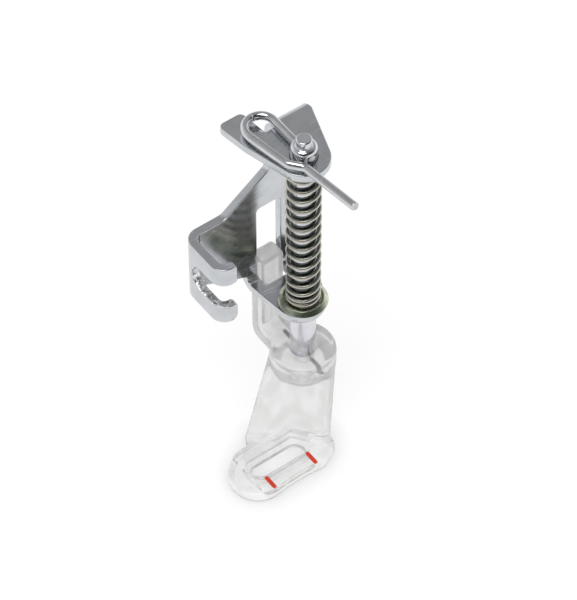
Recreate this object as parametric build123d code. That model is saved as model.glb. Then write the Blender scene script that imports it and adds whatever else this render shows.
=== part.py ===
from build123d import *
import math
import os

# Spring-loaded free-motion presser foot for a sewing machine with a high shank.
# Frame, in millimetres: x = 0 is the inside face of the mounting ear, where the presser bar seats,
# y = 0 and z = 0 are the clamp screw's axis. +X is the machine's right, -Y its front, +Z is up.

# Machine interface
BAR_D = 6.0                 # presser bar that the bracket takes between its web and its lips
BAR_GAP = 0.05              # room in front of and behind the bar
SCREW_SLOT_W = 4.4          # open slot for the clamp screw
NEEDLE_REACH = 11.3         # needle line in front of the bar's axis
SOLE_DROP = 31.9            # clamp screw axis down to the underside of the sole, at rest
FOOT_TRAVEL = 8.2           # lift of the foot against its spring
TRAVEL_GAP = 0.3            # room left between foot and bracket at full lift

# Folded sheet bracket
SHEET_T = 1.25
BEND_R = 0.9                # inside radius of every fold
EAR_UP = 5.4                # ear above the screw axis
EAR_DOWN = 5.3              # ear below the screw axis
LIP_REACH = 1.6             # free end of the lips from the inside of the ear
LIP_CORNER_R = 0.5
LIP_FOOT_R = 1.0            # lowest corner of the lower lip
SHAFT_X = 12.5              # plunger axis, to the right of the ear
SHAFT_FRONT = 4.15          # plunger axis, in front of the bar's axis
UPPER_TOP = 19.55           # top face of the upper flange
LOWER_TOP = -9.75           # top face of the lower flange
NOSE_R = 3.55               # round front of both flanges
LOWER_NOSE_BACK = 0.7       # the lower nose is this much short of the upper one
WEB_RIGHT = 18.5            # right edge of the web
LOWER_LEFT_X = 8.3          # left edge of the lower fold
WING_LEFT_X = 6.6           # tab that runs back beside the neck
WING_RIGHT_X = 10.5
WING_BACK = 6.8             # back edge of the tab, behind the bar's axis
WING_KINK_X = 7.35          # where the tab's left edge meets the tapered edge
WING_KINK_Y = 1.7
WING_CORNER_R = 0.8
NOTCH_W = 1.3               # between the tab and the neck
NECK_LEFT_X = 12.3          # left edge of the neck under the upper fold
NECK_Z = 10.6               # where the sloping edge of the web meets the neck
SLOPE_START_X = 5.0         # where the web's top edge starts to rise
WEB_CORNER_R = 1.6
WINDOW_TOP = 3.9            # top of the guide window
WINDOW_CORNER_R = 0.7

# Plunger shaft and what it carries
SHAFT_D = 3.6
SHAFT_RUN_GAP = 0.06        # radial running clearance in both flanges
SHOULDER_RISE = 2.15        # full diameter above the upper flange
SHOULDER_EDGE = 0.5
HEAD_D = 2.2
HEAD_H = 1.2                # head above the shoulder
HEAD_EDGE = 0.2
SHAFT_END_CHAMFER = 0.3
FIT_GAP = 0.02              # radial clearance of pieces that are fixed to each other

# Retaining clip and spring seat
CLIP_T = 0.4
CLIP_D = 6.0
CLIP_GROOVE_D = 2.8
CLIP_MOUTH_W = 2.3
WASHER_D = 6.9
WASHER_T = 0.4
WASHER_RIM_W = 0.45
WASHER_RIM_LIFT = 0.2

# Compression spring
SPRING_D = 4.9              # outside diameter
SPRING_WIRE_D = 0.5         # across the flats of the square wire
SPRING_TURNS = 14
SPRING_RUNS = 20            # straight runs in each turn
SPRING_END_GAP = 0.02

# Lifting lever, one bent wire through the top of the shaft
LEVER_WIRE_D = 1.2
LEVER_LIFT = 0.45           # wire above the upper flange
LEVER_TAIL = 1.95           # cut end in front of the plunger axis
LEVER_LOOP_R = 2.1
LEVER_LOOP_BACK = 6.5       # centre of the loop behind the plunger axis
LEVER_ARM_X = 9.4           # long arm beside the shaft
LEVER_ARM_FRONT = 0.6       # where it turns in, in front of the plunger axis
LEVER_TIP_FRONT = 11.85     # free end in front of the plunger axis
LEVER_TIP_LEFT = 0.5        # free end left of the plunger axis
LEVER_KINK_LEFT = 1.65      # where it turns to the front again, left of the plunger axis
LEVER_KINK_FRONT = 2.4      # and in front of it
LEVER_BEND_R = 1.6
LEVER_END_EDGE = 0.2

# Clear moulded foot
TONGUE_W = 3.75             # guide tongue that rides in the window
TONGUE_X = 12.07
TONGUE_GAP = 0.09           # each side, in the window
TONGUE_PROUD_FRONT = 1.05   # in front of the web
TONGUE_PROUD_BACK = 0.6     # behind the web
TONGUE_TOP = -6.3
TONGUE_EDGE = 0.3           # bevel on its upright edges and round its top
SLOT_END_GAP = 0.95         # lower flange slot in front of the tongue
BRIDGE_T = 4.3              # arm between tongue and boss
BRIDGE_HEEL_R = 1.9         # rounded lower back edge of the arm
BOSS_D = 9.3                # round boss that takes the shaft's end
BOSS_T = 3.3
BOSS_EDGE = 0.35
TAIL_TOP_D = 8.6            # tapered tail under the boss
TAIL_END_D = 6.0
TAIL_T = 2.4
SHAFT_DEPTH = 2.9           # shaft's end in the boss
PILOT_D = 1.7               # moulded pilot hole under the shaft
PILOT_DEPTH = 2.2
STEM_LEN_TOP = 9.2          # width of the slanting stem at the boss
STEM_LEN_END = 11.8         # width of the stem at the sole
STEM_T = 3.8                # horizontal thickness of the stem
STEM_EDGE = 1.1             # bevel along its long edges
STEM_TURN = -31.0           # degrees, direction of the stem's width
STEM_END_RIGHT = 3.2        # middle of the stem's lower end, right of the needle
STEM_END_BACK = 2.3         # middle of the stem's lower end, behind the needle
SOLE_T = 2.3
SOLE_LOBE_R = 4.15          # round left end of the sole
SOLE_LOBE_LEFT = 3.45       # centre of that end, left of the needle
SOLE_RIGHT = 7.95           # right tip of the sole, right of the needle
SOLE_TIP_FRONT = 2.6        # tip in front of the needle
SOLE_TIP_BACK = 0.4         # back end of the right side, in front of the needle
SOLE_FRONT_RIGHT = 4.9      # where the front edge starts to run to the tip
SOLE_BACK_RIGHT = 4.6       # where the back edge starts to run to the tip
SOLE_WAIST = 0.3            # hollow of the front edge
SOLE_CORNER_R = 1.0
TOE_STEP_LEFT = 5.2         # low toe at the left end starts this far left of the needle
TOE_STEP = 0.7
OPENING_L = 8.4             # needle opening
OPENING_W = 3.0
SCOOP_L = 2.0               # the opening is this much longer at the top of the sole
SCOOP_RIGHT = 0.3           # and its middle this much further to the right
SCOOP_BACK = 1.0            # and its back edge this much further back
SCOOP_OVER = 0.13           # share of the sole by which the cut runs past both faces
POCKET_L = 12.6             # clear space for the needle above the sole
POCKET_W = 5.4
MARK_PITCH = 7.0            # red lines at the ends of the stitch width
MARK_L = 2.4
MARK_W = 0.65
MARK_DEPTH = 0.25
MARK_FRONT = 0.2            # lines start this far in front of the opening

# Cross pin through boss and shaft
PIN_D = 0.6
PIN_DROP = 1.7              # below the top of the boss

# Places worked out from the sizes above
OUTER_R = BEND_R + SHEET_T
SHAFT_Y = -SHAFT_FRONT
NEEDLE_X = BAR_D / 2
NEEDLE_Y = -NEEDLE_REACH
WEB_FRONT = BAR_D / 2 + BAR_GAP
WEB_BACK = WEB_FRONT + SHEET_T
FOLD_Y = WEB_FRONT - BEND_R
UPPER_UNDER = UPPER_TOP - SHEET_T
LOWER_UNDER = LOWER_TOP - SHEET_T
BOSS_TOP = LOWER_UNDER - FOOT_TRAVEL - TRAVEL_GAP
BOSS_UNDER = BOSS_TOP - BOSS_T
SOLE_UNDER = -SOLE_DROP
SOLE_TOP = SOLE_UNDER + SOLE_T
TONGUE_FRONT = WEB_FRONT - TONGUE_PROUD_FRONT
TONGUE_BACK = WEB_BACK + TONGUE_PROUD_BACK
WASHER_UNDER = LOWER_TOP + CLIP_T
SHOULDER_TOP = UPPER_TOP + SHOULDER_RISE
LEVER_Z = UPPER_TOP + LEVER_LIFT + LEVER_WIRE_D / 2
SHAFT_END = BOSS_TOP - SHAFT_DEPTH
PIN_Z = BOSS_TOP - PIN_DROP


def upright(x, y, z, radius, height):
    """Cylinder that stands on the point x, y, z."""
    return Pos(x, y, z + height / 2) * Cylinder(radius, height)


def block(x0, x1, y0, y1, z0, z1):
    """Box between two corners."""
    return Pos((x0 + x1) / 2, (y0 + y1) / 2, (z0 + z1) / 2) * Box(x1 - x0, y1 - y0, z1 - z0)


def fold_section(side_x, side_y):
    """Quarter ring of sheet in the quadrant that the two signs give."""
    ring = Circle(OUTER_R) - Circle(BEND_R)
    return ring & Pos(side_x * OUTER_R / 2, side_y * OUTER_R / 2) * Rectangle(OUTER_R, OUTER_R)


def rounded(face, corner, radius):
    """Face with the corner nearest to a point rounded."""
    return fillet(face.vertices().sort_by_distance(corner)[0], radius)


def nose_tangent(nose_y, x, y, side):
    """Point where the straight edge from x, y meets the nose, on the side that the sign gives."""
    reach = math.hypot(x - SHAFT_X, y - nose_y)
    turn = math.atan2(y - nose_y, x - SHAFT_X) + side * math.acos(NOSE_R / reach)
    return SHAFT_X + NOSE_R * math.cos(turn), nose_y + NOSE_R * math.sin(turn)


def flange_outline(nose_y, back_points):
    """Flange in plan: points along the back, right to left, and a round nose tangent to both ends."""
    start = nose_tangent(nose_y, *back_points[-1], 1)
    end = nose_tangent(nose_y, *back_points[0], -1)
    nose = ThreePointArc(start, (SHAFT_X, nose_y - NOSE_R), end)
    back = Polyline(end, *back_points, start)
    return make_face(nose.edges() + back.edges())


def upper_flange():
    """Upper flange with the tab that runs back beside the neck."""
    outline = flange_outline(SHAFT_Y, [
        (WEB_RIGHT, FOLD_Y), (NECK_LEFT_X, FOLD_Y), (NECK_LEFT_X - NOTCH_W, FOLD_Y),
        (WING_RIGHT_X, WING_BACK), (WING_LEFT_X, WING_BACK), (WING_KINK_X, WING_KINK_Y)])
    outline = rounded(outline, (WING_RIGHT_X, WING_BACK, 0), WING_CORNER_R)
    outline = rounded(outline, (WING_LEFT_X, WING_BACK, 0), WING_CORNER_R)
    return extrude(Pos(0, 0, UPPER_UNDER) * outline, amount=SHEET_T)


def lower_flange():
    """Lower flange, whose hole guides the shaft."""
    outline = flange_outline(SHAFT_Y + LOWER_NOSE_BACK, [(WEB_RIGHT, FOLD_Y), (LOWER_LEFT_X, FOLD_Y)])
    return extrude(Pos(0, 0, LOWER_UNDER) * outline, amount=SHEET_T)


def web():
    """Upright plate between the folds, with its sloping edge."""
    fold_high = UPPER_UNDER - BEND_R
    fold_low = LOWER_TOP + BEND_R
    outline = make_face(Polyline(
        (BEND_R, EAR_UP), (SLOPE_START_X, EAR_UP), (NECK_LEFT_X, NECK_Z), (NECK_LEFT_X, fold_high),
        (WEB_RIGHT, fold_high), (WEB_RIGHT, fold_low), (LOWER_LEFT_X, fold_low),
        (BEND_R, -EAR_DOWN), (BEND_R, EAR_UP)))
    outline = rounded(outline, (SLOPE_START_X, EAR_UP, 0), WEB_CORNER_R)
    outline = rounded(outline, (NECK_LEFT_X, NECK_Z, 0), WEB_CORNER_R)
    facing_front = Plane(origin=(0, WEB_BACK, 0), x_dir=(1, 0, 0), z_dir=(0, -1, 0))
    return extrude(facing_front * outline, amount=SHEET_T)


def cross_folds():
    """The two folds between web and flanges."""
    high = Plane(origin=(NECK_LEFT_X, FOLD_Y, UPPER_UNDER - BEND_R), x_dir=(0, 1, 0), z_dir=(1, 0, 0))
    low = Plane(origin=(LOWER_LEFT_X, FOLD_Y, LOWER_TOP + BEND_R), x_dir=(0, 1, 0), z_dir=(1, 0, 0))
    upper = extrude(high * fold_section(1, 1), amount=WEB_RIGHT - NECK_LEFT_X)
    lower = extrude(low * fold_section(1, -1), amount=WEB_RIGHT - LOWER_LEFT_X)
    return upper + lower


def mounting_ear():
    """Ear at the left with its two lips, slotted for the clamp screw."""
    height = EAR_UP + EAR_DOWN
    plate = block(-SHEET_T, 0, -FOLD_Y, FOLD_Y, -EAR_DOWN, EAR_UP)
    back = extrude(Pos(BEND_R, FOLD_Y, -EAR_DOWN) * fold_section(-1, 1), amount=height)
    front = extrude(Pos(BEND_R, -FOLD_Y, -EAR_DOWN) * fold_section(-1, -1), amount=height)
    lip = block(BEND_R, LIP_REACH, -WEB_BACK, -WEB_FRONT, -EAR_DOWN, EAR_UP)
    slot_half = SCREW_SLOT_W / 2
    mouth = block(-2 * SHEET_T, 2 * LIP_REACH, -2 * WEB_BACK, 0, -slot_half, slot_half)
    round_end = Rot(0, 90, 0) * Cylinder(slot_half, 4 * LIP_REACH)
    ear = plate + back + front + lip - mouth - round_end
    ends = ear.edges().filter_by(Axis.Y).filter_by_position(Axis.X, LIP_REACH - 0.01, LIP_REACH + 0.01)
    ends = ends.sort_by(Axis.Z)
    ear = fillet(ends[1:], LIP_CORNER_R)
    foot_edge = ear.edges().filter_by(Axis.Y).filter_by_position(Axis.X, LIP_REACH - 0.01, LIP_REACH + 0.01)
    return fillet(foot_edge.sort_by(Axis.Z)[0], LIP_FOOT_R)


def guide_window():
    """Space cut for the tongue through web, fold and lower flange."""
    half = TONGUE_W / 2 + TONGUE_GAP
    front = TONGUE_FRONT - SLOT_END_GAP
    space = block(TONGUE_X - half, TONGUE_X + half, front, WEB_BACK + SHEET_T,
                  LOWER_UNDER - SHEET_T, WINDOW_TOP)
    space = fillet(space.edges().filter_by(Axis.Y).group_by(Axis.Z)[-1], WINDOW_CORNER_R)
    return fillet(space.edges().filter_by(Axis.Z).group_by(Axis.Y)[0], WINDOW_CORNER_R)


def bracket():
    """One plated sheet: ear, web and two flanges."""
    sheet = web() + cross_folds() + upper_flange() + lower_flange() + mounting_ear()
    guide_r = SHAFT_D / 2 + SHAFT_RUN_GAP
    guide = upright(SHAFT_X, SHAFT_Y, LOWER_UNDER - SHEET_T, guide_r, UPPER_TOP - LOWER_UNDER + 2 * SHEET_T)
    return sheet - guide_window() - guide


def along_y(x, z, radius, y0, y1):
    """Cylinder along Y between two y values."""
    return Pos(x, (y0 + y1) / 2, z) * Rot(90, 0, 0) * Cylinder(radius, y1 - y0)


def plunger_shaft():
    """Turned shaft with a stepped head, a clip groove and two cross holes."""
    body = upright(SHAFT_X, SHAFT_Y, SHAFT_END, SHAFT_D / 2, SHOULDER_TOP - SHAFT_END)
    body = chamfer(body.edges().filter_by(GeomType.CIRCLE).sort_by(Axis.Z)[-1], SHOULDER_EDGE)
    body = chamfer(body.edges().filter_by(GeomType.CIRCLE).sort_by(Axis.Z)[0], SHAFT_END_CHAMFER)
    head = upright(SHAFT_X, SHAFT_Y, SHOULDER_TOP - SHOULDER_EDGE, HEAD_D / 2, HEAD_H + SHOULDER_EDGE)
    head = chamfer(head.edges().filter_by(GeomType.CIRCLE).sort_by(Axis.Z)[-1], HEAD_EDGE)
    groove = upright(SHAFT_X, SHAFT_Y, LOWER_TOP, SHAFT_D, CLIP_T)
    groove -= upright(SHAFT_X, SHAFT_Y, LOWER_TOP, CLIP_GROOVE_D / 2, CLIP_T)
    wire_hole = along_y(SHAFT_X, LEVER_Z, LEVER_WIRE_D / 2 + FIT_GAP, SHAFT_Y - SHAFT_D, SHAFT_Y + SHAFT_D)
    pin_hole = along_y(SHAFT_X, PIN_Z, PIN_D / 2 + FIT_GAP, SHAFT_Y - SHAFT_D, SHAFT_Y + SHAFT_D)
    return body + head - groove - wire_hole - pin_hole


def lift_lever():
    """Hairpin of wire: short arm through the shaft, loop behind it, long arm past it to the front."""
    loop_y = SHAFT_Y + LEVER_LOOP_BACK
    left_x = SHAFT_X - 2 * LEVER_LOOP_R
    short_arm = Line((SHAFT_X, SHAFT_Y - LEVER_TAIL), (SHAFT_X, loop_y))
    loop = ThreePointArc(short_arm @ 1, (SHAFT_X - LEVER_LOOP_R, loop_y + LEVER_LOOP_R), (left_x, loop_y))
    long_arm = FilletPolyline(
        loop @ 1,
        (left_x, loop_y - LEVER_WIRE_D / 2),
        (LEVER_ARM_X, SHAFT_Y - LEVER_ARM_FRONT),
        (SHAFT_X - LEVER_KINK_LEFT, SHAFT_Y - LEVER_KINK_FRONT),
        (SHAFT_X - LEVER_TIP_LEFT, SHAFT_Y - LEVER_TIP_FRONT),
        radius=LEVER_BEND_R)
    path = Wire(short_arm.edges() + loop.edges() + long_arm.edges())
    section = Plane(origin=path @ 0, z_dir=path % 0) * Circle(LEVER_WIRE_D / 2)
    wire = sweep(section, path=path)
    ends = wire.faces().filter_by(GeomType.PLANE).edges()
    return Pos(0, 0, LEVER_Z) * chamfer(ends, LEVER_END_EDGE)


def retaining_clip():
    """Open ring that snaps into the shaft's groove from the front."""
    ring = Circle(CLIP_D / 2) - Circle(CLIP_GROOVE_D / 2 + FIT_GAP)
    ring -= Pos(0, -CLIP_D / 2) * Rectangle(CLIP_MOUTH_W, CLIP_D)
    return extrude(Pos(SHAFT_X, SHAFT_Y, LOWER_TOP) * ring, amount=CLIP_T)


def spring_washer():
    """Dished washer that the spring stands on."""
    inner = SHAFT_D / 2 + FIT_GAP
    outer = WASHER_D / 2
    flat = outer - WASHER_RIM_W
    profile = make_face(Polyline(
        (inner, 0), (flat, 0), (outer, WASHER_RIM_LIFT), (outer, WASHER_RIM_LIFT + WASHER_T),
        (flat, WASHER_T), (inner, WASHER_T), (inner, 0)))
    return Pos(SHAFT_X, SHAFT_Y, WASHER_UNDER) * revolve(Plane.XZ * profile, axis=Axis.Z)


def spring():
    """Compression spring with ground ends, between washer and upper flange."""
    seat = WASHER_UNDER + WASHER_T
    length = UPPER_UNDER - seat
    coil = Helix(pitch=length / SPRING_TURNS, height=length, radius=(SPRING_D - SPRING_WIRE_D) / 2)
    runs = SPRING_TURNS * SPRING_RUNS
    path = Polyline(*[coil @ (run / runs) for run in range(runs + 1)])
    section = Plane(origin=path @ 0, z_dir=path % 0) * Rectangle(SPRING_WIRE_D, SPRING_WIRE_D)
    wire = sweep(section, path=path, is_frenet=True, transition=Transition.RIGHT)
    ground = upright(0, 0, SPRING_END_GAP, SPRING_D, length - 2 * SPRING_END_GAP)
    return Pos(SHAFT_X, SHAFT_Y, seat) * (wire & ground)


def sole_outline():
    """Sole in plan: round left end, waisted front edge and a pointed right end."""
    lobe_x = NEEDLE_X - SOLE_LOBE_LEFT
    back_y = NEEDLE_Y + SOLE_LOBE_R
    front_y = NEEDLE_Y - SOLE_LOBE_R
    tip_x = NEEDLE_X + SOLE_RIGHT
    front_end = (NEEDLE_X + SOLE_FRONT_RIGHT, front_y)
    lobe = ThreePointArc((lobe_x, back_y), (lobe_x - SOLE_LOBE_R, NEEDLE_Y), (lobe_x, front_y))
    front = ThreePointArc(lobe @ 1, ((lobe_x + front_end[0]) / 2, front_y + SOLE_WAIST), front_end)
    tip = (tip_x, NEEDLE_Y - SOLE_TIP_FRONT)
    side = (tip_x, NEEDLE_Y - SOLE_TIP_BACK)
    back_end = (NEEDLE_X + SOLE_BACK_RIGHT, back_y)
    rest = Polyline(front_end, tip, side, back_end, (lobe_x, back_y))
    outline = make_face(lobe.edges() + front.edges() + rest.edges())
    for corner in (front_end, tip, side, back_end):
        outline = rounded(outline, (*corner, 0), SOLE_CORNER_R)
    return outline


def stem_section(width):
    """Level section of the stem: a bar with bevelled corners."""
    bar = Rectangle(width, STEM_T)
    return chamfer(bar.vertices(), STEM_EDGE)


def stem():
    """Slanting plate from the boss down to the back of the sole."""
    top_z = BOSS_TOP - BOSS_T / 2
    end_z = SOLE_UNDER + SOLE_T / 2
    top = Pos(SHAFT_X, SHAFT_Y, top_z) * Rot(0, 0, STEM_TURN) * stem_section(STEM_LEN_TOP)
    end = Pos(NEEDLE_X + STEM_END_RIGHT, NEEDLE_Y + STEM_END_BACK, end_z)
    end = end * Rot(0, 0, STEM_TURN) * stem_section(STEM_LEN_END)
    return loft([top.face(), end.face()], ruled=True)


def sole():
    """Sole with a low toe at the left end, before the needle opening is cut."""
    plate = extrude(Pos(0, 0, SOLE_UNDER) * sole_outline(), amount=SOLE_T)
    toe_x = NEEDLE_X - TOE_STEP_LEFT
    reach = SOLE_LOBE_LEFT + 2 * SOLE_LOBE_R
    low = block(NEEDLE_X - reach, toe_x, NEEDLE_Y - reach, NEEDLE_Y + reach,
                SOLE_TOP - TOE_STEP, SOLE_TOP + TOE_STEP)
    return plate - low


def mark_grooves(depth):
    """The two line shapes in the front bar of the sole."""
    y = NEEDLE_Y - OPENING_W / 2 - MARK_FRONT - MARK_L / 2
    line = Rot(0, 0, 90) * SlotOverall(MARK_L, MARK_W)
    pair = [Pos(NEEDLE_X + side * MARK_PITCH / 2, y, SOLE_TOP - depth) * line for side in (-1, 1)]
    return [extrude(face, amount=depth) for face in pair]


def guide_arm():
    """Upright tongue and the arm that joins it to the boss."""
    left = TONGUE_X - TONGUE_W / 2
    right = TONGUE_X + TONGUE_W / 2
    under = BOSS_TOP - BRIDGE_T
    tongue = block(left, right, TONGUE_FRONT, TONGUE_BACK, under, TONGUE_TOP)
    arm = block(left, right, SHAFT_Y, TONGUE_FRONT, under, BOSS_TOP)
    side = tongue + arm
    heel = side.edges().filter_by(Axis.X).group_by(Axis.Z)[0].sort_by(Axis.Y)[-1]
    side = fillet(heel, BRIDGE_HEEL_R)
    rims = side.faces().sort_by(Axis.Y)[-1].edges().filter_by(Axis.Z)
    rims += side.edges().filter_by(Axis.Z).filter_by_position(Axis.Y, TONGUE_FRONT - 0.01, TONGUE_FRONT + 0.01)
    side = chamfer(rims, TONGUE_EDGE)
    return chamfer(side.faces().sort_by(Axis.Z)[-1].edges(), TONGUE_EDGE)


def needle_opening():
    """Space of the needle opening: upright in front, sloping at the back and the ends."""
    rings = []
    for share in (-SCOOP_OVER, 1 + SCOOP_OVER):
        ring = SlotOverall(OPENING_L + share * SCOOP_L, OPENING_W + share * SCOOP_BACK)
        x = NEEDLE_X + share * SCOOP_RIGHT
        y = NEEDLE_Y + share * SCOOP_BACK / 2
        rings.append((Pos(x, y, SOLE_UNDER + share * SOLE_T) * ring).face())
    return loft(rings, ruled=True)


def foot():
    """One clear moulding: tongue, arm, boss, slanting stem and sole."""
    boss = upright(SHAFT_X, SHAFT_Y, BOSS_UNDER, BOSS_D / 2, BOSS_T)
    boss = chamfer(boss.edges().filter_by(GeomType.CIRCLE).sort_by(Axis.Z)[-1], BOSS_EDGE)
    tail = Pos(SHAFT_X, SHAFT_Y, BOSS_UNDER - TAIL_T / 2) * Cone(TAIL_END_D / 2, TAIL_TOP_D / 2, TAIL_T)
    pocket = Pos(NEEDLE_X, NEEDLE_Y, SOLE_TOP) * SlotOverall(POCKET_L, POCKET_W)
    moulding = stem() - extrude(pocket, amount=BOSS_T - SOLE_TOP + BOSS_TOP)
    moulding = moulding + sole() + boss + tail + guide_arm()
    moulding -= needle_opening()
    moulding -= upright(SHAFT_X, SHAFT_Y, SHAFT_END, SHAFT_D / 2 + FIT_GAP, SHAFT_DEPTH + BOSS_T)
    moulding -= upright(SHAFT_X, SHAFT_Y, SHAFT_END - PILOT_DEPTH, PILOT_D / 2, PILOT_DEPTH + FIT_GAP)
    moulding -= along_y(SHAFT_X, PIN_Z, PIN_D / 2 + FIT_GAP, SHAFT_Y - BOSS_D, SHAFT_Y + BOSS_D / 2)
    for groove in mark_grooves(MARK_DEPTH):
        moulding -= groove
    return moulding


def cross_pin():
    """Steel pin that locks the shaft in the boss."""
    reach = BOSS_D / 2 - BOSS_EDGE
    return along_y(SHAFT_X, PIN_Z, PIN_D / 2, SHAFT_Y - reach, SHAFT_Y + reach)


def needle_marks():
    """Paint that fills the two grooves."""
    return Compound(mark_grooves(MARK_DEPTH))


NODES = {
    "bracket": bracket,
    "plunger_shaft": plunger_shaft,
    "lift_lever": lift_lever,
    "retaining_clip": retaining_clip,
    "spring_washer": spring_washer,
    "spring": spring,
    "foot": foot,
    "cross_pin": cross_pin,
    "needle_marks": needle_marks,
}

os.makedirs("parts", exist_ok=True)
for name, make in NODES.items():
    export_step(make(), f"parts/{name}.step")
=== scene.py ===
"""Looks of a sprung free-motion presser foot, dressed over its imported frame.

Sizes in the classes are millimetres in the part's own frame: +Z runs up the plunger,
-Y to the machine's front and +X to its right. Meshes are written in metres.
"""

import logging
import math
from dataclasses import dataclass
from enum import Enum

import bmesh
import bpy
import numpy as np
import numpy.typing as npt
from mathutils import Matrix, Vector

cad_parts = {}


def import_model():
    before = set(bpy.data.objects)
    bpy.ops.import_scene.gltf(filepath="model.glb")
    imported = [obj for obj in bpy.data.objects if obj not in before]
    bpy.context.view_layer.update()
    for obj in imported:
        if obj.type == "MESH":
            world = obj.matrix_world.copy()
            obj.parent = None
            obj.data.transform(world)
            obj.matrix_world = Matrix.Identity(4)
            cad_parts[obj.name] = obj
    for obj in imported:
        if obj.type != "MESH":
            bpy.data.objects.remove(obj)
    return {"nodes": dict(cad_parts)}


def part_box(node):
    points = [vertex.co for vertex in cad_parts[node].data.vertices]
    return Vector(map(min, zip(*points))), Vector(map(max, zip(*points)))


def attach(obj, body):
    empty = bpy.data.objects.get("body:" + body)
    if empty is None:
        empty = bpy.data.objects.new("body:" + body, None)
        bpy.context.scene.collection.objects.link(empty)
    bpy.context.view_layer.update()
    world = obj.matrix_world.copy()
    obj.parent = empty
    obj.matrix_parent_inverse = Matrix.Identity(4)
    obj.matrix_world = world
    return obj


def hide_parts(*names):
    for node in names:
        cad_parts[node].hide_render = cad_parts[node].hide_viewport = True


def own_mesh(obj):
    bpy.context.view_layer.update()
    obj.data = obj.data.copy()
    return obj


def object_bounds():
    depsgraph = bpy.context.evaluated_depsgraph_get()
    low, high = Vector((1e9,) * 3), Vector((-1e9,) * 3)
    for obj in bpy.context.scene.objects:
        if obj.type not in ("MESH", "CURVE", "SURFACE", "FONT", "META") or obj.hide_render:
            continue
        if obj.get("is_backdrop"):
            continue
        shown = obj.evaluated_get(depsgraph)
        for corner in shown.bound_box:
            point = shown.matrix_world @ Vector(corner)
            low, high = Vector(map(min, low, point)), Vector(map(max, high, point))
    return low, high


Floats = npt.NDArray[np.float64]
Ints = npt.NDArray[np.int64]
Colour = tuple[float, float, float]
Point = tuple[float, float, float]
Span = tuple[float, float]
Piece = bpy.types.Object
Material = bpy.types.Material
Tree = bpy.types.NodeTree
Group = bpy.types.ShaderNodeTree
Node = bpy.types.Node
Socket = bpy.types.NodeSocket
Value = Socket | float | tuple[float, ...]
Inputs = dict[str | int, Value]

MM = 0.001
WELD = 2.0e-6
SAME_POINT = 1.0e-8
STRAIGHT = 1.0e-6
FLAT_DEG = 0.5
CAP_RINGS = 6
FRAME_W = 577
FRAME_H = 600
SENSOR_MM = 36.0
VIEW_TURN = -36.6
PLUNGER_AXIS = (12.5, -4.15)
LOG = logging.getLogger("presser_foot")


class Body(Enum):
    """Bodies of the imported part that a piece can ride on."""

    BRACKET = "bracket"
    PLUNGER = "plunger"


class Ends(Enum):
    """How the first and last ring of a swept surface are finished."""

    JOINED = "joined"
    CLOSED = "closed"


# Surfaces


def smooth_step(value: Floats, low: float, high: float) -> Floats:
    """Smooth step s * s * (3 - 2 s) of each value, where s runs from 0 at low to 1 at high."""
    share = np.clip((value - low) / (high - low), 0.0, 1.0)
    return share * share * (3 - 2 * share)


def signed_power(value: Floats, power: float) -> Floats:
    """Power of a value's size, with its sign kept."""
    return np.sign(value) * np.abs(value) ** power


def grid_faces(rows: int, cols: int, wrap_rows: bool) -> Ints:
    """Quads between the neighbours of a grid whose columns always wrap round.

    Args:
        rows: number of rings.
        cols: number of points in each ring.
        wrap_rows: join the last ring to the first.

    Returns:
        Array of four vertex numbers per quad.
    """
    starts = np.arange(rows if wrap_rows else rows - 1)
    row, col = np.meshgrid(starts, np.arange(cols), indexing="ij")
    next_row = (row + 1) % rows
    next_col = (col + 1) % cols
    ring = (row * cols + col, row * cols + next_col)
    following = (next_row * cols + next_col, next_row * cols + col)
    return np.stack(ring + following, axis=-1).reshape(-1, 4)


def link_object(name: str, data: bpy.types.ID) -> Piece:
    """Links a new object to the scene.

    Args:
        name: name of the object.
        data: its mesh, light or camera.

    Returns:
        The new object.
    """
    item = bpy.data.objects.new(name, data)
    bpy.context.scene.collection.objects.link(item)
    return item


def link_smooth(name: str, shell: bmesh.types.BMesh, mesh: bpy.types.Mesh) -> Piece:
    """Ends the editing of a shell and links its mesh as a smooth shaded object.

    Args:
        name: name of the object.
        shell: edited shell, which is freed.
        mesh: mesh that the shell is written to.

    Returns:
        The new object.
    """
    shell.to_mesh(mesh)
    shell.free()
    mesh.polygons.foreach_set("use_smooth", np.ones(len(mesh.polygons), bool))
    return link_object(name, mesh)


def ring_surface(name: str, rings: Floats, ends: Ends) -> Piece:
    """Object whose mesh runs through a grid of rings, poles merged and faces outwards.

    Args:
        name: name of the object and its mesh.
        rings: points in mm, one ring per row.
        ends: how its first and last ring are finished.

    Returns:
        The new object, smooth shaded.
    """
    rows, cols, _ = rings.shape
    faces = grid_faces(rows, cols, ends is Ends.JOINED)
    mesh = bpy.data.meshes.new(name)
    mesh.from_pydata((rings.reshape(-1, 3) * MM).tolist(), [], faces.tolist())
    shell = bmesh.new()
    shell.from_mesh(mesh)
    bmesh.ops.remove_doubles(shell, verts=shell.verts, dist=SAME_POINT)
    bmesh.ops.dissolve_degenerate(shell, edges=shell.edges, dist=SAME_POINT)
    bmesh.ops.recalc_face_normals(shell, faces=shell.faces)
    return link_smooth(name, shell, mesh)


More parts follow.
